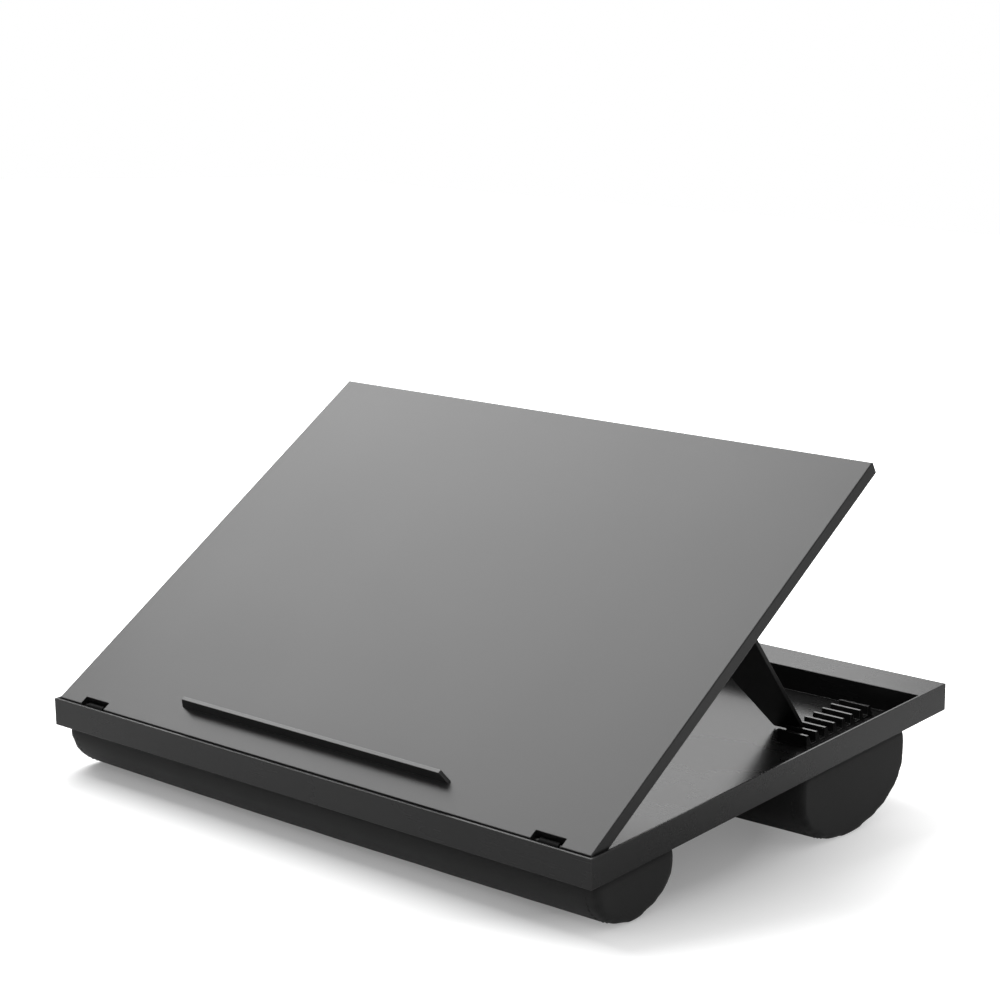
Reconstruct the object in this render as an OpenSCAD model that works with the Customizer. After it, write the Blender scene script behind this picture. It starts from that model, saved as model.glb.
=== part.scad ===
// Adjustable lap desk: a shallow tray on two bolster cushions, with a platform
// hinged at its front edge and held up by a prop that stands in a notch rack.
// The tray's top front edge is y = 0 and z = 0 while a piece is drawn, with +Y to
// the back. seated() then levels the whole desk on its two cushions.

/* [Tray] */
// Width of the tray, left to right
tray_w = 440; // [400:5:480]
// Depth of the tray, front to back
tray_d = 379; // [374:1:400]
// Height of the tray's outer wall
tray_h = 18; // [17:0.5:22]
// Thickness of the tray's walls
wall_t = 1.8; // [1.6:0.1:2.4]
// Thickness of the tray's floor
floor_t = 2; // [1.6:0.1:2.4]
// Width of the rail along the back
rail_w = 32; // [24:1:34]
// Thickness of the rail's top
rail_t = 2.6; // [2:0.1:4]
// Number of ribs inside the rail
rail_ribs = 7; // [3:1:9]
// Chamfer along the tray's rim
rim_chamfer = 0.3; // [0.2:0.1:0.8]

/* [Platform] */
// Angle between the tray and the raised platform
lid_angle = 30.5; // [29:0.5:32]
// Thickness of the platform at its edges
lid_t = 8.4; // [8:0.1:8.8]
// Distance from the tray's back to the back of the closed platform
lid_back = 49; // [46:0.5:55]
// Gap between the platform and the tray's side walls
lid_gap = 0.3; // [0.3:0.1:1]
// Gap between the platform's nose and the tray's front wall
nose_gap = 0.8; // [0.8:0.1:1.2]
// Reach of the platform's front lip ahead of the hinge axis
lip_d = 2; // [1.6:0.1:2.1]
// Height of the closed platform above the tray's rim
lid_proud = 2.2; // [1.8:0.1:2.4]
// Thickness of the platform's top skin
skin_t = 2.4; // [2:0.1:2.6]
// Thickness of the platform's edge flange
flange_t = 2.4; // [2:0.1:3]
// Thickness of the ribs under the platform
rib_t = 2; // [1.4:0.1:2.4]
// Depth of the platform's solid front bar behind the hinge axis
bar_d = 12; // [10:1:14]
// Chamfer along the platform's top edges
lid_chamfer = 0.5; // [0.2:0.1:0.8]

/* [Hinge] */
// Distance from the tray's side to each hinge notch's centre
notch_inset = 33.6; // [30:0.2:50]
// Width of a hinge notch
notch_w = 21.6; // [18:0.2:24]
// Depth of a hinge notch behind the hinge axis
notch_d = 3.8; // [3.4:0.1:4.6]
// Diameter of the hinge pins
pin_d = 3; // [2.4:0.1:3.2]
// Outer diameter of a hinge bracket's knuckle
knuckle_d = 4.8; // [4.6:0.1:5.2]
// Width of a hinge bracket's post
post_w = 14; // [10:0.5:16]
// Length of a hinge pin
hinge_pin_len = 40; // [34:1:46]
// Thickness of a hinge bracket's foot
bracket_foot_t = 5; // [4:0.5:6]
// Depth of a hinge bracket's foot
bracket_foot_d = 16; // [14:0.5:18]

/* [Stop ledge] */
// Length of the stop ledge along its foot
ledge_len = 221; // [180:1:260]
// Height of the stop ledge above the platform
ledge_h = 8; // [6:0.5:12]
// Thickness of the stop ledge
ledge_t = 2.4; // [2:0.1:3]
// Distance from the hinge axis to the stop ledge's middle
ledge_u = 17.8; // [16:0.2:24]
// Slant of the stop ledge's ends
ledge_slant = 3.5; // [0:0.5:8]
// Sideways place of the stop ledge's middle, left of centre
ledge_shift = 8; // [0:1:12]
// Width of each of the stop ledge's tongues
tongue_w = 16; // [10:1:24]
// Number of tongues
tongue_n = 3; // [2:1:4]

/* [Prop] */
// Distance from the platform's back to the prop's pivot
pivot_back = 130.5; // [127.5:0.5:133.5]
// Depth of the prop's pivot below the platform's mid-plane
pivot_drop = 2.2; // [2:0.1:2.6]
// Thickness of the prop's plate
prop_t = 2.8; // [2.4:0.1:3]
// Distance from the tray's side to each leg's centre
leg_inset = 54; // [50:1:60]
// Width of a leg at its foot
foot_w = 23; // [20:1:26]
// Width of a leg at its pivot
leg_top_w = 58; // [50:1:62]
// Depth of the bar that joins the legs
cross_d = 26; // [18:1:34]
// Distance from the pivot axis to the plate's edge
plate_start = 5; // [4.6:0.1:6]
// Diameter of the pivot barrels
barrel_d = 5.6; // [5:0.1:5.8]
// Width of a pivot barrel
barrel_w = 16; // [12:1:20]
// Height of the stiffening ribs on the prop
prop_rib_h = 3; // [2:0.5:4]
// Thickness of the ears that hold a prop pin
ear_t = 3.6; // [3:0.2:4.4]
// Depth of a prop bracket's plate
plate_d = 14; // [12:0.5:16]
// Thickness of a prop bracket's plate
plate_t = 2; // [1.6:0.1:2.2]

/* [Notch racks] */
// Number of teeth in a rack
tooth_n = 8; // [6:1:8]
// Distance from tooth to tooth
tooth_pitch = 10.4; // [10:0.1:10.6]
// Height of a rack above the tray's floor
rack_h = 7.2; // [6.4:0.1:7.4]
// Width of a tooth below its bevelled top
tooth_top = 2.6; // [1.6:0.1:2.8]
// Run of a tooth's sloped back
tooth_run = 2.6; // [2:0.1:3]
// Bevel at a tooth's top, on the side of its slope
tooth_bevel = 0.6; // [0.6:0.1:1]
// Length of a rack's teeth, left to right
rack_w = 22; // [18:1:26]
// Distance from the tray's side to each rack's centre
rack_inset = 40; // [34:1:44]
// Distance from the tray's back to the frontmost tooth
rack_back = 120; // [119:0.2:123]
// Thickness of a rack's base strip
rack_base_t = 1; // [0.8:0.1:1.2]
// Notch that the prop stands in, counted from the front
notch_used = 2; // [2:1:3]

/* [Cushions] */
// Distance from the tray's side to a cushion's end
cushion_inset = 3; // [2:0.5:30]
// Depth of the front cushion
front_depth = 74.8; // [60:0.2:80]
// Straight side of the front cushion
front_side = 6.8; // [6:0.2:12]
// Height of the front cushion's rounded part
front_round = 27.2; // [22:0.2:30]
// Distance from the tray's front to the front cushion's middle
front_y = 45.6; // [44:0.2:50]
// Depth of the rear cushion
rear_depth = 120.4; // [100:0.2:126]
// Straight side of the rear cushion
rear_side = 16.2; // [12:0.2:20]
// Height of the rear cushion's rounded part
rear_round = 37.2; // [30:0.2:42]
// Distance from the tray's back to the rear cushion's middle
rear_back = 105; // [99:0.5:111]
// Radius of the soft edge around each cushion end
end_r = 4.6; // [4:0.2:10]
// Swell of a cushion at the middle of its length
crown = 0.8; // [0.4:0.1:2]
// Thickness of a cushion's padded cover
cover_t = 1.5; // [1:0.1:2]
// Depth to which the cushions give where the desk stands on them
settle = 0.5; // [0.4:0.1:0.8]
// Thickness of the fastening strips on top of the cushions
strip_t = 1; // [0.8:0.1:1.4]
// Width of a fastening strip
strip_w = 18; // [12:1:24]

/* [Screws] */
// Diameter of a screw's shank
screw_d = 2.9; // [2.4:0.1:3]
// Diameter of a countersunk screw head
screw_head_d = 5.2; // [4.8:0.1:5.6]
// Height of a countersunk screw head
screw_head_h = 1.4; // [1.2:0.1:1.5]
// Length of the screws in the tray's floor
screw_len = 5.4; // [5:0.1:5.8]

/* [Fits] */
// Radial clearance of pins in their bores
pin_fit = 0.05; // [0.02:0.01:0.09]
// Gap between a seated piece and its seat
seat_gap = 0.3; // [0.2:0.05:0.4]
// Gap between parts that turn past each other
turn_gap = 0.4; // [0.3:0.05:0.5]

/* [Hidden] */

$fn = 48;
// Overlap of a cutting shape past the face that it cuts
cut = 1;
// Surfaces that the pieces stand on
floor_z = floor_t - tray_h;
rack_top_z = floor_z + rack_h;
// Places measured from the tray's sides and back
notch_x = tray_w / 2 - notch_inset;
leg_x = tray_w / 2 - leg_inset;
rack_x = tray_w / 2 - rack_inset;
rack_y = tray_d - rack_back;
rear_y = tray_d - rear_back;
cushion_len = tray_w - 2 * cushion_inset;
// Place of the hinge axis, and of the closed platform's front nose
nose_r = lid_t / 2;
hinge_y = wall_t + nose_gap + nose_r;
hinge_z = lid_proud - nose_r;
lid_w = tray_w - 2 * (wall_t + lid_gap);
lid_len = tray_d - lid_back - hinge_y;
skin_w = nose_r - skin_t;
pivot_u = lid_len - pivot_back;
// Place of the prop's foot, one radius off the rack's base and the tooth behind it
foot_r = prop_t / 2;
foot_y = rack_y + notch_used * tooth_pitch - tooth_top / 2 - seat_gap - foot_r;
foot_z = floor_z + rack_base_t + seat_gap + foot_r;
// Place of the prop's pivot with the platform raised
pivot_y = hinge_y + pivot_u * cos(lid_angle) + pivot_drop * sin(lid_angle);
pivot_z = hinge_z + pivot_u * sin(lid_angle) - pivot_drop * cos(lid_angle);
prop_len = norm([foot_y - pivot_y, foot_z - pivot_z]);
prop_lean = atan2(pivot_z - foot_z, foot_y - pivot_y);
// Radius of an ear round the prop's pin, which reaches up to the platform's skin
ear_r = pivot_drop + skin_w;
pivot_pin_len = barrel_w + 2 * (turn_gap + ear_t);
// Head at each end of a prop pin
pin_head_t = 1;
pin_head_d = 4.6;
// Gap between the prop's pin and the front of its bracket's plate
bracket_back = 4.4;
// Short screws of the prop brackets, with cheese heads
prop_screw_d = screw_d - 0.5;
prop_head_d = screw_head_d - 0.6;
prop_head_h = 1.2;
// Width of the cross slot in their heads
cross_slot = 0.7;
// Skin left above the tip of a prop bracket's screw
screw_skin = 1.2;
prop_screw_len = plate_t + skin_t - screw_skin;
prop_screw_u = pivot_u + bracket_back + plate_d / 2;

// Height of a rounded underside below its centre, seen along a ground tilted by g
function reach(a, b, g) = sqrt(pow(a * sin(g), 2) + pow(b * cos(g), 2));
// Slope of the ground under both cushions, found by repeating the tangent condition
function ground(g, n) =
  n == 0 ? g :
  ground(atan((rise - (reach(rear_depth / 2, rear_b, g) - reach(front_depth / 2, front_b, g))
    / cos(g)) / (rear_y - front_y)), n - 1);
front_b = front_round + crown;
rear_b = rear_round + crown;
rise = front_side - rear_side;
ground_slope = ground(0, 8);
tilt = -ground_slope;
// Height of the tray's top front edge above the ground, with the cushions settled
stand_z = (tray_h + rear_side) * cos(ground_slope) + rear_y * sin(ground_slope)
  + reach(rear_depth / 2, rear_b, ground_slope) - settle;
stand_y = -(tray_d * cos(tilt) + tray_h * sin(tilt)) / 2;

// Levels the desk on its cushions, with the origin below the middle of its outline
module seated() {
  translate([0, stand_y, stand_z]) rotate([tilt, 0, 0]) children();
}

// Places a piece drawn in the platform's own frame: hinge axis at the origin,
// +Y along the platform and +Z out of its top
module on_platform() {
  seated() translate([0, hinge_y, hinge_z]) rotate([lid_angle, 0, 0]) children();
}

// Places a piece drawn in the prop's own frame: pivot axis at the origin,
// +Y towards the foot and +Z out of the face that looks up and back
module on_prop() {
  seated() translate([0, pivot_y, pivot_z]) rotate([-prop_lean, 0, 0]) children();
}

// A block with chamfered top edges, its top at z = 0
module chamfered_block(w, d, h, c) {
  hull() {
    translate([-w / 2, 0, -h]) cube([w, d, h - c]);
    translate([-w / 2 + c, c, -h]) cube([w - 2 * c, d - 2 * c, h]);
  }
}

// A cylinder along X, centred on x
module x_cylinder(d, len, x = 0) {
  translate([x - len / 2, 0, 0]) rotate([0, 90, 0]) cylinder(d = d, h = len);
}

// A countersunk self-tapping screw, head face at z = 0 and shank upwards
module countersunk_screw(len) {
  cylinder(d1 = screw_head_d, d2 = screw_d, h = screw_head_h);
  translate([0, 0, screw_head_h]) cylinder(d = screw_d, h = len - screw_head_h);
}

// The hole for such a screw through the floor, with the head sunk in
module countersunk_hole() {
  hole_d = screw_d + 2 * pin_fit;
  head_d = screw_head_d + 2 * pin_fit;
  cylinder(d1 = head_d, d2 = hole_d, h = screw_head_h);
  translate([0, 0, -cut]) cylinder(d = head_d, h = cut);
  cylinder(d = hole_d, h = floor_t + cut);
}

// Blind hole for a screw's tip
module tip_hole(len) {
  translate([0, 0, -cut]) cylinder(d = screw_d + 2 * pin_fit, h = len + cut);
}

// Places of the screws that hold the racks, halfway through a tooth at the tip's height
screw_tip_h = screw_len - floor_t + seat_gap;
slope_run = tooth_run * (rack_h - screw_tip_h) / (rack_h - rack_base_t);
function rack_screw_y(i) = rack_y + (i == 0 ? 1 : tooth_n - 2) * tooth_pitch + slope_run / 2;
// Places of the screws that hold the hinge brackets, in the middle of the foot
bracket_foot_y = hinge_y - knuckle_d / 2;
bracket_screw_y = bracket_foot_y + knuckle_d + (bracket_foot_d - knuckle_d) / 2;
bracket_screw_dx = (post_w - screw_head_d) / 2;

module at_rack_screws(side) {
  for (i = [0, 1])
    translate([side * rack_x, rack_screw_y(i), -tray_h]) children();
}

module at_bracket_screws(side) {
  for (dx = [-1, 1])
    translate([side * notch_x + dx * bracket_screw_dx, bracket_screw_y, -tray_h]) children();
}

// Tray moulding: floor, four walls and the hollow rail along the back
module tray() {
  inner_w = tray_w - 2 * wall_t;
  rail_y = tray_d - rail_w;
  rib_step = inner_w / (rail_ribs + 1);
  color("#2b2b2d") seated() {
    difference() {
      chamfered_block(tray_w, tray_d, tray_h, rim_chamfer);
      translate([-inner_w / 2, wall_t, floor_z]) cube([inner_w, rail_y - wall_t, tray_h]);
      translate([0, wall_t - rim_chamfer, 0]) rim_flare(inner_w, rail_y - wall_t);
      translate([-inner_w / 2, rail_y + wall_t, -tray_h - cut])
        cube([inner_w, rail_w - 2 * wall_t, tray_h + cut - rail_t]);
      for (side = [-1, 1]) {
        at_rack_screws(side) countersunk_hole();
        at_bracket_screws(side) countersunk_hole();
      }
    }
    for (i = [1 : rail_ribs])
      translate([-inner_w / 2 + i * rib_step - rib_t / 2, rail_y + wall_t, -tray_h])
        cube([rib_t, rail_w - 2 * wall_t, tray_h - rail_t]);
  }
}

// Cutter that chamfers the inside of the tray's rim
module rim_flare(w, d) {
  hull() {
    translate([-w / 2 - rim_chamfer, 0, 0]) cube([w + 2 * rim_chamfer, d + 2 * rim_chamfer, cut]);
    translate([-w / 2, rim_chamfer, -rim_chamfer]) cube([w, d, cut]);
  }
}

// Saw-tooth rack: upright fronts stop the prop's foot and sloped backs guide it down
module notch_rack(side) {
  teeth_y = [for (i = [0 : tooth_n - 1]) rack_y + i * tooth_pitch];
  half = tooth_top / 2;
  base_z = floor_z + rack_base_t;
  base_front = teeth_y[0] - half;
  base_back = teeth_y[tooth_n - 1] + half + tooth_run;
  color("#2a2a2c") seated() difference() {
    translate([side * rack_x - rack_w / 2, 0, 0]) {
      translate([0, base_front, floor_z]) cube([rack_w, base_back - base_front, rack_base_t]);
      for (y = teeth_y)
        rotate([90, 0, 90]) linear_extrude(rack_w)
          polygon([
            [y - half, floor_z],
            [y + half + tooth_run, floor_z],
            [y + half + tooth_run, base_z],
            [y + half, rack_top_z - tooth_bevel],
            [y + half - tooth_bevel, rack_top_z],
            [y - half, rack_top_z]
          ]);
    }
    at_rack_screws(side) translate([0, 0, floor_t]) tip_hole(screw_tip_h);
  }
}

// Hinge bracket: a foot on the tray's floor and a post whose top holds the pin
module hinge_bracket(side) {
  color("#202022") seated() difference() {
    union() {
      translate([side * notch_x - post_w / 2, bracket_foot_y, floor_z])
        cube([post_w, bracket_foot_d, bracket_foot_t]);
      translate([side * notch_x - post_w / 2, bracket_foot_y, floor_z])
        cube([post_w, knuckle_d, hinge_z - floor_z]);
      translate([0, hinge_y, hinge_z]) x_cylinder(knuckle_d, post_w, side * notch_x);
    }
    translate([0, hinge_y, hinge_z])
      x_cylinder(pin_d + 2 * pin_fit, post_w + 2 * cut, side * notch_x);
    at_bracket_screws(side) translate([0, 0, floor_t]) tip_hole(screw_tip_h);
  }
}

module hinge_pin(side) {
  color("#9a9b9d") seated() translate([0, hinge_y, hinge_z])
    x_cylinder(pin_d, hinge_pin_len, side * notch_x);
}

module rack_screws() {
  color("#8b8c8e") seated()
    for (side = [-1, 1]) at_rack_screws(side) countersunk_screw(screw_len);
}

module hinge_bracket_screws() {
  color("#8b8c8e") seated()
    for (side = [-1, 1]) at_bracket_screws(side) countersunk_screw(screw_len);
}

// Steps round a bolster's underside, round each of its ends and along its middle
arc_steps = 28;
end_steps = 6;
mid_steps = 8;
inner_arc = 18;
inner_end = 3;
inner_mid = 6;

// Half-section of a bolster, from its flat top round its underside, in y and z.
// e draws the whole outline in, and the top lies at z = -top
function bolster_section(depth, side, round_h, e, top, n) = concat(
  [[-depth / 2 + e, -top]],
  [for (i = [0 : n]) let (a = 180 + 180 * i / n)
    [(depth / 2 - e) * cos(a), -side + (round_h - e) * sin(a)]],
  [[depth / 2 - e, -top]]
);

// Inset of a bolster's section at x: a soft quarter-round edge at the ends and
// a slight swell in between
function bolster_inset(x, half, r, e) = let (
  d = min(max(half - abs(x), 0), r),
  swell = crown * (1 - pow(x / half, 2))
) e + r - sqrt(r * r - pow(r - d, 2)) - swell;

// Stations along a bolster: close together round the ends, wide in the middle
function bolster_stations(half, r, n_end, n_mid) = concat(
  [for (i = [0 : n_end]) -half + r * (1 - cos(90 * i / n_end))],
  [for (i = [1 : n_mid - 1]) -half + r + (2 * half - 2 * r) * i / n_mid],
  [for (i = [n_end : -1 : 0]) half - r * (1 - cos(90 * i / n_end))]
);

// A bolster's closed skin, drawn in by e and with its top lowered by top
module bolster(depth, side, round_h, e, top, n, n_end, n_mid) {
  half = cushion_len / 2 - e;
  xs = bolster_stations(half, end_r, n_end, n_mid);
  rings = [for (x = xs)
    bolster_section(depth, side, round_h, bolster_inset(x, half, end_r, e), top, n)];
  m = len(rings[0]);
  k = len(xs);
  points = [for (i = [0 : k - 1]) for (q = rings[i]) [xs[i], q[0], q[1]]];
  skin = [for (i = [0 : k - 2]) for (j = [0 : m - 1]) let (
      a = i * m + j, b = i * m + (j + 1) % m
    ) each [[a, b + m, b], [a, a + m, b + m]]];
  caps = [for (j = [1 : m - 2]) each [
      [0, j, j + 1],
      [(k - 1) * m, (k - 1) * m + j + 1, (k - 1) * m + j]
    ]];
  polyhedron(points, concat(skin, caps));
}

// Everything above the ground that the desk stands on
module above_ground() {
  intersection() {
    children();
    translate([-tray_w, -tray_d, 0]) cube([2 * tray_w, 2 * tray_d, 2 * tray_d]);
  }
}

// Places of the two fastening strips on a cushion of this depth
module at_strips(depth, y) {
  for (s = [-1, 1])
    translate([-cushion_len / 2 + 2 * end_r, y + s * depth / 4 - strip_w / 2, -tray_h - strip_t])
      children();
}

module fastening_strip(grow = 0) {
  translate([-grow, -grow, 0]) cube([cushion_len - 4 * end_r + 2 * grow, strip_w + 2 * grow, strip_t]);
}

// Padded fabric cover, hollow for the foam and recessed for the fastening strips
module cushion_cover(depth, side, round_h, y) {
  above_ground() seated() difference() {
    translate([0, y, -tray_h]) difference() {
      bolster(depth, side, round_h, 0, 0, arc_steps, end_steps, mid_steps);
      bolster(depth, side, round_h, cover_t, cover_t + strip_t, inner_arc, inner_end, inner_mid);
    }
    at_strips(depth, y) strip_recess();
  }
}

// Recess for one fastening strip, open at the cushion's top
module strip_recess() {
  fastening_strip(seat_gap);
  translate([0, 0, strip_t / 2]) fastening_strip(seat_gap);
}

module cushion_foam(depth, side, round_h, y) {
  color("#8f8f86") seated() translate([0, y, -tray_h])
    bolster(depth, side, round_h, cover_t + seat_gap, cover_t + strip_t + seat_gap,
      inner_arc, inner_end, inner_mid);
}

module fastening_strips(depth, y) {
  color("#1c1c1e") seated() at_strips(depth, y) fastening_strip();
}

// Side outline of the platform's plate, with a round nose on the hinge axis and a
// lip that runs on from its top and meets the nose a little short of its tangent
module lid_profile() {
  lip_turn = 90 + 1.5 * atan(lip_d / nose_r);
  lip_w = nose_r * sin(lip_turn);
  intersection() {
    circle(r = nose_r, $fn = 64);
    translate([-2 * nose_r, -2 * nose_r]) square([4 * nose_r, 2 * nose_r + lip_w]);
  }
  translate([0, -nose_r]) square([lid_len, lid_t]);
  polygon([
    [0, 0],
    [0, nose_r],
    [-lip_d, nose_r],
    [nose_r * cos(lip_turn), lip_w]
  ]);
}

// Cutter that keeps the platform's ends and back inside chamfered top edges
module lid_trim() {
  translate([0, -2 * nose_r, nose_r])
    chamfered_block(lid_w, lid_len + 2 * nose_r, lid_t + cut, lid_chamfer);
}

// Box in the platform's frame from u0 to u1 and x0 to x1, under the skin down to w
module under_skin(x0, x1, u0, u1, w) {
  translate([x0, u0, w]) cube([x1 - x0, u1 - u0, skin_w - w]);
}

// Setback of the ribs from the platform's lower face, and room round the bay
rib_setback = 0.4;
bay_room = 4;
// Places of the cross ribs, as parts of the length in front of the bay and behind it
front_rib_parts = [0.3, 0.6];
back_rib_parts = [0.32, 0.68];

// Ribs under the platform, which leave bays for the folded prop and its brackets
module lid_ribs() {
  rib_w = rib_setback - nose_r;
  half = lid_w / 2 - flange_t;
  back = lid_len - flange_t;
  bay_front = pivot_u - cross_d - bay_room;
  bay_back = pivot_u + plate_d + 3 * bay_room;
  inner_x = leg_x - leg_top_w / 2 - 2 * bay_room;
  for (x = [-inner_x, -inner_x / 2, 0, inner_x / 2, inner_x]) {
    under_skin(x - rib_t / 2, x + rib_t / 2, bar_d, bay_front, rib_w);
    under_skin(x - rib_t / 2, x + rib_t / 2, bay_back, back, rib_w);
  }
  for (f = front_rib_parts)
    under_skin(-inner_x, inner_x, bar_d + f * (bay_front - bar_d),
      bar_d + f * (bay_front - bar_d) + rib_t, rib_w);
  for (f = back_rib_parts)
    under_skin(-half, half, bay_back + f * (back - bay_back),
      bay_back + f * (back - bay_back) + rib_t, rib_w);
}

// Platform moulding: skin, edge flange, ribs and the front bar that carries the pins
module lid_panel() {
  half = lid_w / 2 - flange_t;
  color("#3a3a3c") on_platform() difference() {
    intersection() {
      translate([-lid_w / 2, 0, 0]) rotate([90, 0, 90]) linear_extrude(lid_w)
        lid_profile();
      lid_trim();
    }
    difference() {
      under_skin(-half, half, bar_d, lid_len - flange_t, -nose_r - cut);
      lid_ribs();
    }
    for (side = [-1, 1]) {
      translate([side * notch_x - notch_w / 2, -nose_r - cut, -nose_r - cut])
        cube([notch_w, nose_r + cut + notch_d, lid_t + 2 * cut]);
      x_cylinder(pin_d + 2 * pin_fit, hinge_pin_len + 2 * seat_gap, side * notch_x);
      at_prop_screws(side) prop_screw_hole();
    }
    at_tongues() tongue_hole();
    at_tongues() hook(seat_gap);
  }
}

// Places of the stop ledge's tongues, on the platform's mid-plane
module at_tongues() {
  step = (ledge_len - 3 * tongue_w) / (tongue_n - 1);
  for (i = [0 : tongue_n - 1])
    translate([-ledge_shift + (i - (tongue_n - 1) / 2) * step, ledge_u, 0]) children();
}

// Slot for a tongue, which the ledge's wall covers
module tongue_hole() {
  translate([-tongue_w / 2 - pin_fit, -tongue_t / 2 - pin_fit, skin_w - cut])
    cube([tongue_w + 2 * pin_fit, tongue_t + 2 * pin_fit, skin_t + 2 * cut]);
}

// Thickness of a tongue, set in from both faces of the ledge's wall
tongue_t = ledge_t - 2 * seat_gap;
// Chamfer at the ledge's upper corners, and the hooks at the tongues' lower ends
ledge_soft = 0.5;
hook_h = 1;
hook_reach = 0.8;

// Hook at a tongue's lower end, or with grow the room for it among the ribs
module hook(grow = 0) {
  depth = ledge_t + 2 * (hook_reach + grow);
  translate([-tongue_w / 2 - grow, -depth / 2, skin_w - seat_gap - hook_h - grow])
    cube([tongue_w + 2 * grow, depth, hook_h + 2 * grow]);
}

// Stop ledge: an upright lip with slanted ends, held by tongues through the skin
module stop_ledge() {
  half = ledge_len / 2;
  color("#2a2a2c") on_platform() {
    translate([-ledge_shift, ledge_u + ledge_t / 2, nose_r]) rotate([90, 0, 0])
      linear_extrude(ledge_t) polygon([
        [-half, 0],
        [half, 0],
        [half - ledge_slant, ledge_h - ledge_soft],
        [half - ledge_slant - ledge_soft, ledge_h],
        [-half + ledge_slant + ledge_soft, ledge_h],
        [-half + ledge_slant, ledge_h - ledge_soft]
      ]);
    at_tongues() translate([-tongue_w / 2, -tongue_t / 2, skin_w - seat_gap])
      cube([tongue_w, tongue_t, skin_t + seat_gap]);
    at_tongues() hook();
  }
}

// Places of the screws in a prop bracket's plate, on its lower face
module at_prop_screws(side) {
  for (dx = [-1, 1])
    translate([side * leg_x + dx * (barrel_w / 2 - 1), prop_screw_u, skin_w - plate_t]) children();
}

module prop_screw_hole() {
  cylinder(d = prop_screw_d + 2 * pin_fit, h = prop_screw_len + pin_fit);
}

// Bracket under the platform: a screwed plate behind the pivot and two ears
module prop_bracket(side) {
  inner = barrel_w / 2 + turn_gap;
  outer = inner + ear_t;
  arm_low = -pivot_drop - ear_r / 5;
  color("#202022") on_platform() difference() {
    union() {
      translate([side * leg_x - outer, pivot_u + bracket_back, skin_w - plate_t])
        cube([2 * outer, plate_d, plate_t]);
      for (s = [-1, 1]) {
        x = side * leg_x + s * (inner + ear_t / 2);
        translate([0, pivot_u, -pivot_drop]) x_cylinder(2 * ear_r, ear_t, x);
        translate([x - ear_t / 2, pivot_u, skin_w - plate_t])
          cube([ear_t, bracket_back + plate_d, plate_t]);
        translate([x - ear_t / 2, pivot_u - ear_r, -pivot_drop])
          cube([ear_t, 2 * ear_r, skin_w + pivot_drop]);
        translate([x - ear_t / 2, pivot_u, arm_low])
          cube([ear_t, bracket_back + plate_d / 3, skin_w - arm_low]);
      }
    }
    translate([0, pivot_u, -pivot_drop])
      x_cylinder(pin_d + 2 * pin_fit, 2 * outer + 2 * cut, side * leg_x);
    at_prop_screws(side) translate([0, 0, -cut])
      cylinder(d = prop_screw_d + 2 * pin_fit, h = plate_t + 2 * cut);
  }
}

module prop_bracket_screws() {
  color("#8b8c8e") on_platform()
    for (side = [-1, 1]) at_prop_screws(side) {
      cylinder(d = prop_screw_d, h = prop_screw_len - pin_fit);
      difference() {
        translate([0, 0, -prop_head_h]) cylinder(d = prop_head_d, h = prop_head_h);
        for (a = [0, 90]) rotate([0, 0, a]) translate([0, 0, -prop_head_h])
          cube([prop_head_d * 0.6, cross_slot, prop_head_h], center = true);
      }
    }
}

module prop_pin(side) {
  color("#9a9b9d") on_platform() translate([0, pivot_u, -pivot_drop]) {
    x_cylinder(pin_d, pivot_pin_len, side * leg_x);
    for (s = [-1, 1])
      x_cylinder(pin_head_d, pin_head_t, side * leg_x + s * (pivot_pin_len + pin_head_t) / 2);
  }
}

// Outline of one leg, tapering from the bar to the foot
module leg_outline(side) {
  top = leg_top_w / 2;
  toe = foot_w / 2;
  translate([side * leg_x, 0]) polygon([
    [-top, plate_start],
    [top, plate_start],
    [toe, prop_len],
    [-toe, prop_len]
  ]);
}

// Fillet between the prop's bar and its legs, and width of its stiffening ribs
prop_fillet = 14;
prop_rib_w = 2;
// Distance from the foot to the end of a leg's rib, and from a rib to the bar's edge
rib_foot_gap = 16;
rib_edge_gap = 4;

// Prop: two tapered legs joined by a bar, with barrels on the pivot axis
module prop_frame() {
  inner = leg_x - leg_top_w / 2;
  bar_end = plate_start + cross_d;
  color("#141415") on_prop() difference() {
    union() {
      translate([0, 0, -prop_t / 2]) linear_extrude(prop_t) {
        for (side = [-1, 1]) leg_outline(side);
        translate([-inner - cut, plate_start]) square([2 * (inner + cut), cross_d]);
        for (side = [-1, 1]) polygon([
          [side * (inner - prop_fillet), bar_end],
          [side * leg_x, bar_end],
          [side * leg_x, bar_end + prop_fillet],
          [side * (inner + prop_fillet / 4), bar_end + prop_fillet]
        ]);
      }
      for (side = [-1, 1]) {
        x_cylinder(barrel_d, barrel_w, side * leg_x);
        translate([side * leg_x - barrel_w / 2, 0, -prop_t / 2])
          cube([barrel_w, plate_start + cut, prop_t]);
        translate([0, prop_len, 0]) x_cylinder(prop_t, foot_w, side * leg_x);
        translate([side * leg_x - prop_rib_w / 2, bar_end - rib_edge_gap, prop_t / 2])
          cube([prop_rib_w, prop_len - rib_foot_gap - bar_end, prop_rib_h]);
      }
      translate([-leg_x, bar_end - rib_edge_gap - prop_rib_w, prop_t / 2])
        cube([2 * leg_x, prop_rib_w, prop_rib_h]);
    }
    for (side = [-1, 1])
      x_cylinder(pin_d + 2 * pin_fit, barrel_w + 2 * cut, side * leg_x);
  }
}

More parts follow.
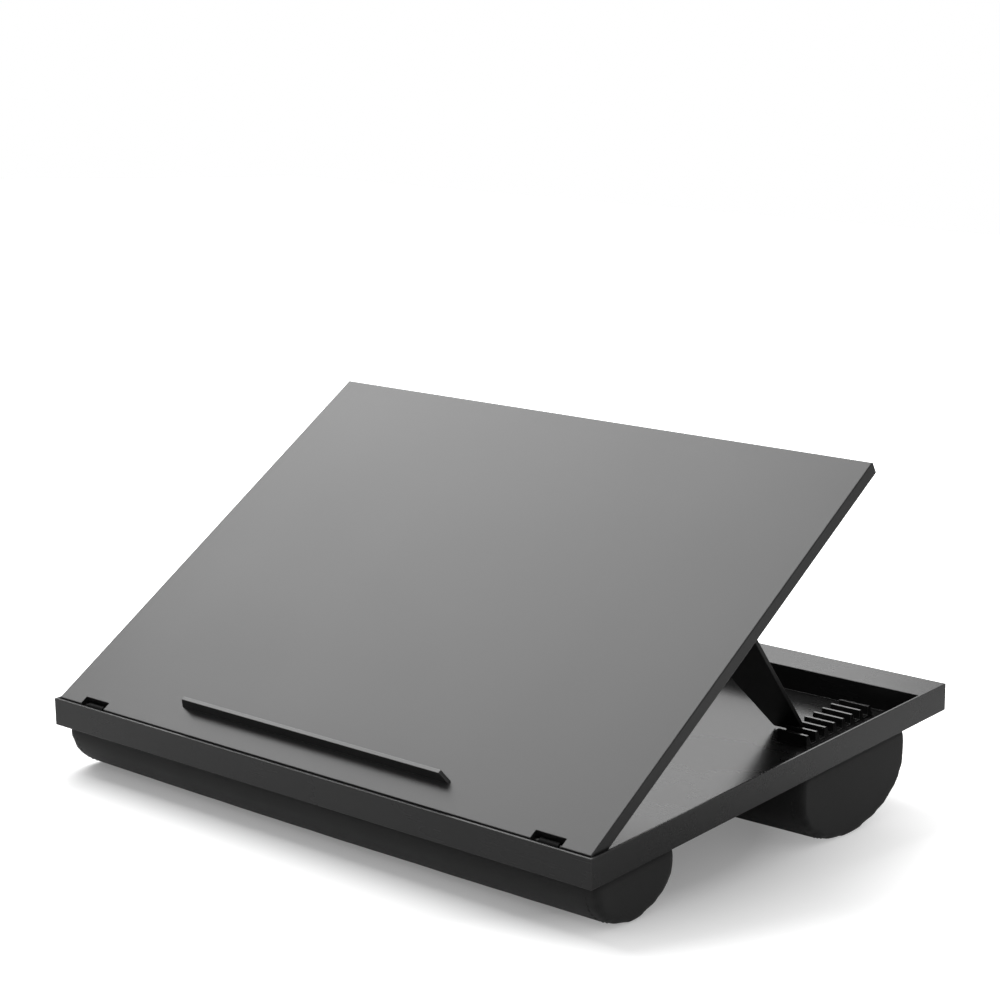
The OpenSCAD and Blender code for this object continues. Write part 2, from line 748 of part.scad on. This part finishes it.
tray();
notch_rack(-1);  // notch_rack_left
notch_rack(1);  // notch_rack_right
rack_screws();
hinge_bracket(-1);  // hinge_bracket_left
hinge_bracket(1);  // hinge_bracket_right
hinge_bracket_screws();
hinge_pin(-1);  // hinge_pin_left
hinge_pin(1);  // hinge_pin_right
color("#242425") cushion_cover(front_depth, front_side, front_round, front_y);  // front_cushion_cover
cushion_foam(front_depth, front_side, front_round, front_y);  // front_cushion_foam
fastening_strips(front_depth, front_y);  // front_fastening_strips
color("#242425") cushion_cover(rear_depth, rear_side, rear_round, rear_y);  // rear_cushion_cover
cushion_foam(rear_depth, rear_side, rear_round, rear_y);  // rear_cushion_foam
fastening_strips(rear_depth, rear_y);  // rear_fastening_strips
lid_panel();
stop_ledge();
prop_bracket(-1);  // prop_bracket_left
prop_bracket(1);  // prop_bracket_right
prop_bracket_screws();
prop_pin(-1);  // prop_pin_left
prop_pin(1);  // prop_pin_right
prop_frame();
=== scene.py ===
import math
import bpy
from mathutils import Matrix, Vector, noise
from mathutils.bvhtree import BVHTree


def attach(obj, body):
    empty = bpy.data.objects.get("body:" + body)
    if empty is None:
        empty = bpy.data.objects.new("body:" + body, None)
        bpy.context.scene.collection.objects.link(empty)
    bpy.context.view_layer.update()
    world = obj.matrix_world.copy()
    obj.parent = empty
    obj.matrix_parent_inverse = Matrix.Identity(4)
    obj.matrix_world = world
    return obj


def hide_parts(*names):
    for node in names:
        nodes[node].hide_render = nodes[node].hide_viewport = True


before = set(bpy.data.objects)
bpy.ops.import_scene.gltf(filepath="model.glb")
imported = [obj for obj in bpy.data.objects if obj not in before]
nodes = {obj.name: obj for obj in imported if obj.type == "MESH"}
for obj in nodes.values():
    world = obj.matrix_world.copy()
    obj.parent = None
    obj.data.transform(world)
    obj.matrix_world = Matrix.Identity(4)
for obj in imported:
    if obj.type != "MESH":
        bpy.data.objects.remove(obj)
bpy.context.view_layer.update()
scene = bpy.context.scene
MM = 0.001

# The tray leans forward on its cushions. These three numbers take a point from the tray's own
# axes (x right, y back, z up, from the middle of its top front edge) to the ground's.
TILT = math.radians(4.896225)
STAND_Y = -0.18957666
STAND_Z = 0.04839734
SEAT = Matrix.Translation((0, STAND_Y, STAND_Z)) @ Matrix.Rotation(TILT, 4, "X")


# Materials
class Nodes:
    """Short calls for building one material's node tree."""

    def __init__(self, name):
        self.mat = bpy.data.materials.new(name)
        self.mat.use_nodes = True
        self.tree = self.mat.node_tree
        self.bsdf = self.tree.nodes["Principled BSDF"]

    def add(self, kind, **values):
        n = self.tree.nodes.new(kind)
        for k, v in values.items():
            setattr(n, k, v)
        return n

    def link(self, a, b):
        self.tree.links.new(a, b)

    def set(self, **values):
        for k, v in values.items():
            self.bsdf.inputs[k.replace("_", " ")].default_value = v

    def coords(self):
        return self.add("ShaderNodeTexCoord").outputs["Object"]

    def stretch(self, vector, scale):
        m = self.add("ShaderNodeMapping")
        m.inputs["Scale"].default_value = scale
        self.link(vector, m.inputs["Vector"])
        return m.outputs["Vector"]

    def noise(self, vector, scale, detail=3.0):
        n = self.add("ShaderNodeTexNoise")
        n.inputs["Scale"].default_value = scale
        n.inputs["Detail"].default_value = detail
        self.link(vector, n.inputs["Vector"])
        return n.outputs["Fac"]

    def wave(self, vector, scale, direction):
        n = self.add("ShaderNodeTexWave", bands_direction=direction)
        n.inputs["Scale"].default_value = scale
        self.link(vector, n.inputs["Vector"])
        return n.outputs["Fac"]

    def remap(self, value, a, b, lo, hi):
        n = self.add("ShaderNodeMapRange")
        for i, v in zip((1, 2, 3, 4), (a, b, lo, hi)):
            n.inputs[i].default_value = v
        self.link(value, n.inputs[0])
        return n.outputs[0]

    def math(self, op, a, b):
        n = self.add("ShaderNodeMath", operation=op)
        for i, v in enumerate((a, b)):
            if isinstance(v, (int, float)):
                n.inputs[i].default_value = v
            else:
                self.link(v, n.inputs[i])
        return n.outputs[0]

    def mix(self, fac, a, b):
        n = self.add("ShaderNodeMix", data_type="RGBA")
        self.link(fac, n.inputs["Factor"])
        for sock, v in zip((n.inputs[6], n.inputs[7]), (a, b)):
            if isinstance(v, tuple):
                sock.default_value = v
            else:
                self.link(v, sock)
        return n.outputs[2]

    def bump(self, height, strength, distance, normal=None):
        n = self.add("ShaderNodeBump")
        n.inputs["Strength"].default_value = strength
        n.inputs["Distance"].default_value = distance
        self.link(height, n.inputs["Height"])
        if normal is not None:
            self.link(normal, n.inputs["Normal"])
        return n.outputs["Normal"]

    def bevel(self, radius):
        n = self.add("ShaderNodeBevel", samples=6)
        n.inputs["Radius"].default_value = radius
        return n.outputs["Normal"]


def grey(v, warm=0.0):
    """A grey of that level, a little warmer or cooler if asked."""
    return (v * (1 + warm), v, v * (1 - warm), 1)


def plastic(name, base, edge_highlight, rough, grain, radius=0.6 * MM, spec=0.5, ior=1.4):
    """Moulded plastic: fine grain, cloudy gloss, faint rubs, and a painted highlight that makes
    its edges paler.
    """
    n = Nodes(name)
    at = n.coords()
    cloud = n.noise(at, 14.0, 4.0)
    fine = n.noise(at, 2200.0, 2.0)
    rub = n.noise(n.stretch(at, (6.0, 90.0, 90.0)), 3.0, 5.0)
    soft = n.bevel(radius)
    geo = n.add("ShaderNodeNewGeometry")
    dot = n.add("ShaderNodeVectorMath", operation="DOT_PRODUCT")
    n.link(soft, dot.inputs[0])
    n.link(geo.outputs["Normal"], dot.inputs[1])
    # Painted highlight: edges turn paler where the bevelled normal leaves the face's own, patchy
    # by noise.
    painted_highlight = n.remap(dot.outputs["Value"], 0.995, 0.86, 0.0, 1.0)
    painted_highlight = n.math("MULTIPLY", painted_highlight, n.remap(n.noise(at, 60.0, 3.0), 0.3, 0.7, 0.55, 1.0))
    colour = n.mix(n.remap(cloud, 0.3, 0.7, 0.0, 1.0), grey(base * 0.88), grey(base * 1.12))
    n.link(n.mix(painted_highlight, colour, grey(edge_highlight)), n.bsdf.inputs["Base Color"])
    gloss = n.math("ADD", n.remap(cloud, 0.3, 0.7, rough[0], rough[1]),
                   n.remap(rub, 0.5, 0.8, 0.0, 0.006))
    n.link(gloss, n.bsdf.inputs["Roughness"])
    n.link(n.bump(fine, grain, 0.12 * MM, soft), n.bsdf.inputs["Normal"])
    n.set(Specular_IOR_Level=spec, IOR=ior)
    return n.mat


def steel(name, tone, rough):
    """Drawn steel: brushed along x, with faint spots."""
    n = Nodes(name)
    at = n.coords()
    brushed = n.noise(n.stretch(at, (1.0, 60.0, 60.0)), 40.0, 4.0)
    spots = n.noise(at, 350.0, 3.0)
    n.set(Metallic=1.0)
    n.link(n.mix(spots, grey(tone * 0.8, 0.02), grey(tone * 1.1)), n.bsdf.inputs["Base Color"])
    n.link(n.remap(brushed, 0.3, 0.7, rough, rough + 0.16), n.bsdf.inputs["Roughness"])
    n.link(n.bump(brushed, 0.3, 0.05 * MM, n.bevel(0.2 * MM)), n.bsdf.inputs["Normal"])
    return n.mat


def woven(name, base, bands=360.0):
    """Close plain weave laid out on the weave_u and weave_v attributes, in metres."""
    n = Nodes(name)
    u = n.add("ShaderNodeAttribute", attribute_name="weave_u").outputs["Fac"]
    v = n.add("ShaderNodeAttribute", attribute_name="weave_v").outputs["Fac"]
    uv = n.add("ShaderNodeCombineXYZ")
    n.link(u, uv.inputs[0])
    n.link(v, uv.inputs[1])
    at = uv.outputs[0]
    warp = n.wave(at, bands, "X")
    weft = n.wave(at, bands, "Y")
    threads = n.math("MULTIPLY", warp, weft)
    slub = n.noise(n.stretch(at, (30.0, 900.0, 1.0)), 1.0, 3.0)
    lint = n.noise(n.coords(), 900.0, 3.0)
    broad = n.noise(n.coords(), 18.0, 3.0)
    tone = n.math("ADD", n.math("MULTIPLY", threads, 0.5),
                  n.math("MULTIPLY", n.math("ADD", slub, lint), 0.25))
    tone = n.math("MULTIPLY", tone, n.remap(broad, 0.3, 0.7, 0.85, 1.15))
    n.link(n.mix(tone, grey(base * 0.6), grey(base * 1.55)), n.bsdf.inputs["Base Color"])
    n.set(Roughness=0.88, Specular_IOR_Level=0.22, Sheen_Weight=0.12, Sheen_Roughness=0.5)
    n.link(n.bump(threads, 0.35, 0.2 * MM, n.bump(lint, 0.2, 0.3 * MM)), n.bsdf.inputs["Normal"])
    return n.mat


def plain_cloth(name, base, scale):
    """Matt cloth with a fuzz of the given fineness."""
    n = Nodes(name)
    at = n.coords()
    fuzz = n.noise(at, scale, 4.0)
    n.link(n.mix(fuzz, grey(base * 0.6), grey(base * 1.5)), n.bsdf.inputs["Base Color"])
    n.set(Roughness=0.92, Specular_IOR_Level=0.2)
    n.link(n.bump(fuzz, 0.6, 0.4 * MM), n.bsdf.inputs["Normal"])
    return n.mat


# In each plastic, the second number is the pale colour painted on its edges as a highlight.
mats = {
    "tray": plastic("tray satin black", 0.012, 0.06, (0.26, 0.28), 0.12, ior=1.32),
    "platform": plastic("platform satin black", 0.014, 0.07, (0.29, 0.32), 0.15, ior=1.32),
    "ledge": plastic("ledge satin black", 0.008, 0.08, (0.26, 0.34), 0.15, 0.5 * MM),
    "rack": plastic("rack semi-gloss black", 0.012, 0.10, (0.2, 0.26), 0.1, 0.5 * MM),
    "prop": plastic("prop matt black", 0.003, 0.02, (0.45, 0.55), 0.2, 0.5 * MM, 0.2),
    "bracket": plastic("bracket matt black", 0.002, 0.004, (0.6, 0.7), 0.2, 0.4 * MM, 0.1),
    "pin": steel("blackened steel", 0.035, 0.32),
    "screw": steel("zinc plated steel", 0.42, 0.3),
    "fabric": woven("cushion fabric", 0.014),
    "thread": plain_cloth("sewing thread", 0.035, 2500.0),
    "tape": plain_cloth("fastening tape", 0.012, 1600.0),
}
CAD_LOOK = {
    "tray": "tray", "lid_panel": "platform", "stop_ledge": "ledge", "prop_frame": "prop",
    "notch_rack_left": "rack", "notch_rack_right": "rack",
    "hinge_bracket_left": "bracket", "hinge_bracket_right": "bracket",
    "prop_bracket_left": "bracket", "prop_bracket_right": "bracket",
    "hinge_pin_left": "pin", "hinge_pin_right": "pin",
    "prop_pin_left": "pin", "prop_pin_right": "pin",
    "rack_screws": "screw", "hinge_bracket_screws": "screw", "prop_bracket_screws": "screw",
    "front_fastening_strips": "tape", "rear_fastening_strips": "tape",
}
for node, look in CAD_LOOK.items():
    o = nodes[node]
    if not o.material_slots:
        o.data.materials.append(mats[look])
    for s in o.material_slots:
        s.material = mats[look]


# Cushions
CUSHION_LEN = 434 * MM
HALF_LEN = CUSHION_LEN / 2
END_R = 4.6 * MM            # rounding of the finished ends
CROWN = 0.8 * MM            # how much fuller the middle is than the ends
START_R = 1.0 * MM          # rounding of the ends before the simulation
END_STEPS = 8               # faces of the starting form round an end and along the cushion
LONG_STEPS = 60
TRAY_H = 18 * MM
STRIP_W = 18 * MM           # fastening strips between a cushion and the tray
STRIP_T = 1 * MM
STRIP_MARGIN = 3 * MM
TRAY_GAP = 0.1 * MM         # clearances of the cloth
STRIP_GAP = 0.15 * MM
GROUND_GAP = 0.05 * MM
VOXEL = 4 * MM
PINNED = 4 * MM             # depth below the tray that the simulation holds still
UNEVEN_FROM = 5 * MM        # depth below the tray at which the cloth turns uneven
UNEVEN = ((22, 0.2 * MM), (60, 0.1 * MM))  # fineness and height of its two noises
FRAMES = 20
REACH = (0.7 * MM, 1.2 * MM, 0.9 * MM)  # farthest that a point moves in the simulation
SEAM_IN = 7.5 * MM          # seam's distance from the end
SEAM_TOP = 2 * MM           # seams and their groove end this far below the tray
SEAM_FROM = 186             # degrees in the section, just below the front top edge
SEAM_SWEEP = 168            # degrees round the underside to just below the rear top edge
OUTSIDE = 0.2               # farther from the middle line than any cushion reaches
GROOVE_IN = 6 * MM          # groove's distance from the end, half its width and its depth
GROOVE_HALF = 3 * MM
GROOVE_DEPTH = 0.2 * MM
STITCH = dict(pitch=4.2 * MM, length=2.8 * MM, radius=0.22 * MM)
# Depth front to back, height of the straight sides, height of the rounded underside, place
# of the middle behind the tray's front edge, and how far the starting form is drawn in. It
# is let out here, below zero, since smoothing draws it in later.
CUSHIONS = {
    "front": dict(depth=74.8 * MM, side=6.8 * MM, round_h=27.2 * MM, y=45.6 * MM,
                  inset=-0.55 * MM),
    "rear": dict(depth=120.4 * MM, side=16.2 * MM, round_h=37.2 * MM, y=274 * MM,
                 inset=-1.35 * MM),
}


def outline(c, e, n=40):
    """A bolster's section drawn in by e: flat top, straight sides, rounded underside."""
    a, b = c["depth"] / 2 - e, c["round_h"] - e
    pts = [(-a, -max(e, 0)), (-a, -c["side"] / 2)]
    for i in range(n + 1):
        t = math.pi * (1 + i / n)
        pts.append((a * math.cos(t), -c["side"] + b * math.sin(t)))
    pts += [(a, -c["side"] / 2), (a, -max(e, 0))]
    return pts


def bolster_mesh(name, c):
    """Closed skin of a bolster on the tray's axes, the starting form of the simulation."""
    half = HALF_LEN - c["inset"]
    xs = [-half + START_R * (1 - math.cos(math.pi / 2 * i / END_STEPS))
          for i in range(END_STEPS + 1)]
    xs += [-half + START_R + (2 * half - 2 * START_R) * i / LONG_STEPS
           for i in range(1, LONG_STEPS)]
    xs += [-x for x in reversed(xs[:END_STEPS + 1])]
    verts, faces = [], []
    for x in xs:
        d = min(max(half - abs(x), 0), START_R)
        e = c["inset"] + START_R - math.sqrt(START_R ** 2 - (START_R - d) ** 2)
        e -= CROWN * (1 - (x / half) ** 2)
        verts += [(x, c["y"] + y, -TRAY_H + z) for y, z in outline(c, e)]
    m = len(outline(c, 0))
    for i in range(len(xs) - 1):
        for j in range(m):
            a, b = i * m + j, i * m + (j + 1) % m
            faces.append((a, a + m, b + m, b))
    faces.append(tuple(range(m)))
    faces.append(tuple(reversed(range((len(xs) - 1) * m, len(xs) * m))))
    me = bpy.data.meshes.new(name)
    me.from_pydata([Vector(v) for v in verts], [], faces)
    return me


def applied(obj):
    """Replaces the object's mesh by its evaluated one and drops its modifiers."""
    deps = bpy.context.evaluated_depsgraph_get()
    me = bpy.data.meshes.new_from_object(obj.evaluated_get(deps))
    obj.modifiers.clear()
    obj.data = me
    return me


def inflate(obj):
    """Blows the skin up as cloth, held by its flat top, and caps how far it moves."""
    start = [v.co.copy() for v in obj.data.vertices]
    pin = obj.vertex_groups.new(name="pin")
    pin.add([i for i, p in enumerate(start) if p.z > -TRAY_H - PINNED], 1.0, "REPLACE")
    mod = obj.modifiers.new("cloth", "CLOTH")
    s = mod.settings
    s.quality = 5
    s.mass = 0.25
    s.tension_stiffness = 18
    s.compression_stiffness = 18
    s.shear_stiffness = 8
    s.bending_stiffness = 1.5
    s.use_pressure = True
    s.uniform_pressure_force = 4.0
    s.vertex_group_mass = "pin"
    s.effector_weights.gravity = 0
    mod.collision_settings.use_collision = False
    mod.point_cache.frame_start = 1
    mod.point_cache.frame_end = FRAMES
    for f in range(1, FRAMES + 1):
        scene.frame_set(f)
    me = applied(obj)
    scene.frame_set(1)
    for v, p in zip(me.vertices, start):
        d = v.co - p
        k = max(abs(move) / most for move, most in zip(d, REACH))
        v.co = p + d / max(k, 1.0)


def settle(me, c):
    """Makes the cloth a little uneven, and keeps it clear of tray, strips and ground."""
    back = SEAT.inverted()
    for v in me.vertices:
        p = v.co
        soft = sum(noise.noise(p * scale) * height for scale, height in UNEVEN)
        if p.z < -TRAY_H - UNEVEN_FROM:
            p += Vector((0, p.y - c["y"], p.z + TRAY_H + c["side"] * 0.6)).normalized() * soft
        p.x = max(-HALF_LEN, min(HALF_LEN, p.x))
        top = -TRAY_H - TRAY_GAP
        for side in (-1, 1):
            if (abs(p.y - c["y"] - side * c["depth"] / 4) < STRIP_W / 2 + STRIP_MARGIN
                    and abs(p.x) < HALF_LEN - 2 * END_R + STRIP_MARGIN):
                top = -TRAY_H - STRIP_T - STRIP_GAP
        p.z = min(p.z, top)
        w = SEAT @ p
        if w.z < GROUND_GAP:
            w.z = GROUND_GAP
            p = back @ w
        v.co = p


def read_between(table, place):
    """Value of an evenly spaced table at a fractional place."""
    i = min(len(table) - 2, int(place))
    return table[i] + (table[i + 1] - table[i]) * (place - i)


def lay_weave(me, c):
    """Distances along and round the cushion, in metres, for the weave."""
    steps = 200
    quarter = math.pi / 2
    a, b = c["depth"] / 2, c["round_h"]
    arc = [0.0]
    for i in range(steps):
        t0, t1 = quarter * i / steps, quarter * (i + 1) / steps
        arc.append(arc[-1] + math.hypot(a * (math.sin(t1) - math.sin(t0)),
                                        b * (math.cos(t1) - math.cos(t0))))
    u = me.attributes.new("weave_u", "FLOAT", "CORNER")
    v = me.attributes.new("weave_v", "FLOAT", "CORNER")
    for poly in me.polygons:
        end = abs(poly.normal.x) > 0.75
        for li in poly.loop_indices:
            p = me.vertices[me.loops[li].vertex_index].co
            y, z = p.y - c["y"], p.z + TRAY_H + c["side"]
            if end:
                u.data[li].value, v.data[li].value = y, z
                continue
            if z > 0:
                s = arc[-1] + z
            else:
                s = read_between(arc, abs(math.atan2(y / a, -z / b)) / quarter * steps)
            u.data[li].value, v.data[li].value = p.x, s if y > 0 else -s


def tube(points, radius, sides):
    """Vertices and faces of a thin round tube through the points, tapered at both ends."""
    verts, faces = [], []
    last = len(points) - 1
    for i, p in enumerate(points):
        d = (points[min(i + 1, last)] - points[max(i - 1, 0)]).normalized()
        side = d.orthogonal() if i == 0 else (side - d * side.dot(d))
        side.normalize()
        up = d.cross(side)
        r = radius if 0 < i < last else radius * 0.45
        for k in range(sides):
            t = 2 * math.pi * k / sides
            verts.append(p + (side * math.cos(t) + up * math.sin(t)) * r)
    for i in range(last):
        for k in range(sides):
            a, b = i * sides + k, i * sides + (k + 1) % sides
            faces.append((a, b, b + sides, a + sides))
    faces.append(tuple(reversed(range(sides))))
    faces.append(tuple(range(last * sides, (last + 1) * sides)))
    return verts, faces


def mesh_object(name, verts, faces, mat, smooth=True):
    """A new mesh object in the scene, with one material."""
    me = bpy.data.meshes.new(name)
    me.from_pydata(verts, [], faces)
    me.polygons.foreach_set("use_smooth", [smooth] * len(me.polygons))
    me.materials.append(mat)
    o = bpy.data.objects.new(name, me)
    scene.collection.objects.link(o)
    return o


def core(c, x):
    """Point inside the cushion, on its lengthwise middle line."""
    return Vector((x, c["y"], -TRAY_H - c["side"] * 0.5))


def seam_path(bvh, c, x, n=240):
    """Points and normals on the cushion round its section at x, between its two top edges."""
    mid = core(c, x)
    pts = []
    for i in range(n + 1):
        t = math.radians(SEAM_FROM + SEAM_SWEEP * i / n)
        d = Vector((0, math.cos(t) * c["depth"] / 2, math.sin(t) * (c["side"] + c["round_h"])))
        place, normal, *_ = bvh.ray_cast(mid + d.normalized() * OUTSIDE, -d.normalized())
        if place is not None and place.z < -TRAY_H - SEAM_TOP:
            pts.append((place, normal))
    return pts


def stitches(name, paths, pitch, length, radius):
    """Short threads sunk in the cloth at their ends, one after another along each path."""
    verts, faces = [], []
    for path in paths:
        run = 0.0
        marks = [0.0]
        for a, b in zip(path, path[1:]):
            run += (b[0] - a[0]).length
            marks.append(run)
        s, j = pitch / 2, 0
        while s + length < run:
            pts = []
            for f in (0, 0.25, 0.5, 0.75, 1):
                while j < len(marks) - 2 and marks[j + 1] < s + f * length:
                    j += 1
                k = (s + f * length - marks[j]) / max(marks[j + 1] - marks[j], 1e-9)
                p = path[j][0].lerp(path[j + 1][0], k)
                lift = radius * (0.3 if 0 < f < 1 else -0.6)
                pts.append(p + path[j][1] * lift)
            v, q = tube(pts, radius, 6)
            base = len(verts)
            verts += v
            faces += [tuple(base + i for i in face) for face in q]
            s += pitch
            j = max(0, j - 3)
    return mesh_object(name, verts, faces, mats["thread"])


def cushion(name, c):
    """One padded bolster: skin blown up as cloth, smoothed, subdivided, settled and sewn."""
    o = bpy.data.objects.new(name, bolster_mesh(name, c))
    scene.collection.objects.link(o)
    mod = o.modifiers.new("skin", "REMESH")
    mod.mode = "VOXEL"
    mod.voxel_size = VOXEL
    applied(o)
    inflate(o)
    mod = o.modifiers.new("smooth", "SMOOTH")
    mod.factor = 0.5
    mod.iterations = 6
    mod = o.modifiers.new("fine", "SUBSURF")
    mod.levels = 1
    me = applied(o)
    settle(me, c)
    bvh = BVHTree.FromPolygons([v.co for v in me.vertices],
                               [tuple(p.vertices) for p in me.polygons])
    seams = [seam_path(bvh, c, s * (HALF_LEN - SEAM_IN)) for s in (-1, 1)]
    for v in me.vertices:
        near = abs(abs(v.co.x) - (HALF_LEN - GROOVE_IN)) / GROOVE_HALF
        if near < 1 and v.co.z < -TRAY_H - SEAM_TOP:
            v.co -= (v.co - core(c, v.co.x)).normalized() * GROOVE_DEPTH * (1 - near)
    lay_weave(me, c)
    me.polygons.foreach_set("use_smooth", [True] * len(me.polygons))
    me.materials.clear()
    me.materials.append(mats["fabric"])
    me.transform(SEAT)
    thread = stitches(name + "_stitches", seams, **STITCH)
    thread.data.transform(SEAT)
    for v in [*me.vertices, *thread.data.vertices]:
        v.co.z = max(v.co.z, GROUND_GAP)
    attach(o, "base")
    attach(thread, "base")
    return o, thread


for key, c in CUSHIONS.items():
    o, thread = cushion(key + "_cushion", c)
    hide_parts(key + "_cushion_cover", key + "_cushion_foam")


# Floor, light and camera
FLOOR_HALF = 6
GLOW = (0.2, 1.0)           # painted glow of the floor for the camera, near the desk and far off
GLOW_REACH = (0.22, 0.42)   # distances at which it starts and stops growing
GLOW_MIDDLE = (-0.02, -0.06, 0)


def floor_material():
    """Pale floor that takes the shadows, with a painted glow for the camera that whitens it with
    distance.
    """
    n = Nodes("studio floor")
    n.set(Base_Color=(0.75, 0.75, 0.75, 1), Roughness=0.75, Specular_IOR_Level=0.2)
    path = n.add("ShaderNodeLightPath")
    far = n.add("ShaderNodeVectorMath", operation="DISTANCE")
    far.inputs[1].default_value = GLOW_MIDDLE
    n.link(n.coords(), far.inputs[0])
    # Painted glow for the camera only: faint near the desk so the shadow shows, growing to white
    # farther off.
    painted_glow = n.remap(far.outputs["Value"], *GLOW_REACH, *GLOW)
    n.bsdf.inputs["Emission Color"].default_value = (1, 1, 1, 1)
    n.link(n.math("MULTIPLY", path.outputs["Is Camera Ray"], painted_glow),
           n.bsdf.inputs["Emission Strength"])
    return n.mat


corners = [Vector((x * FLOOR_HALF, y * FLOOR_HALF, 0))
           for x, y in ((-1, -1), (1, -1), (1, 1), (-1, 1))]
floor = mesh_object("floor", corners, [(0, 1, 2, 3)], floor_material(), False)

# White to the camera and in reflections, and half as strong as light on the object
world = bpy.data.worlds.new("studio")
scene.world = world
world.use_nodes = True
wt = world.node_tree
bg = wt.nodes["Background"]
path = wt.nodes.new("ShaderNodeLightPath")
seen = path.outputs["Is Camera Ray"]
for ray in ("Is Transmission Ray", "Is Glossy Ray"):
    either = wt.nodes.new("ShaderNodeMath")
    either.operation = "MAXIMUM"
    wt.links.new(seen, either.inputs[0])
    wt.links.new(path.outputs[ray], either.inputs[1])
    seen = either.outputs[0]
level = wt.nodes.new("ShaderNodeMapRange")
level.inputs["To Min"].default_value = 0.5
level.inputs["To Max"].default_value = 1.0
wt.links.new(seen, level.inputs["Value"])
wt.links.new(level.outputs[0], bg.inputs["Strength"])
bg.inputs["Color"].default_value = (1, 1, 1, 1)


def area(name, place, aim, size, power):
    """Rectangular lamp at a place, turned to a point: size in metres, power in watts."""
    light = bpy.data.lights.new(name, "AREA")
    light.shape = "RECTANGLE"
    light.size, light.size_y = size
    light.energy = power
    o = bpy.data.objects.new(name, light)
    o.location = place
    o.rotation_euler = (Vector(aim) - Vector(place)).to_track_quat("-Z", "Y").to_euler()
    scene.collection.objects.link(o)


area("key", (-1.05, 0.1, 1.55), (0, 0, 0.1), (1.5, 1.3), 40)
area("back", (-1.45, 1.75, 1.5), (0, 0, 0.05), (1.3, 0.9), 9)
area("fill", (-0.6, -1.8, 1.9), (0, 0, 0.05), (1.6, 1.2), 4)

# The camera's axes and place, fitted to the edges of the tray and the platform
right = Vector((0.76883451, 0.63798330, 0.04325280))
up = Vector((-0.14504417, 0.10811539, 0.98350051))
fwd = Vector((-0.62278061, 0.76242270, -0.17565860))
cam = bpy.data.cameras.new("camera")
cam.sensor_fit = "HORIZONTAL"
cam.sensor_width = 36
cam.lens = 86.118
cam.clip_start = 0.05
camera = bpy.data.objects.new("camera", cam)
turn = Matrix((right, up, -fwd)).transposed().to_4x4()
camera.matrix_world = Matrix.Translation((0.95196884, -1.17622353, 0.46050105)) @ turn
scene.collection.objects.link(camera)
scene.camera = camera
scene.view_settings.view_transform = "Standard"
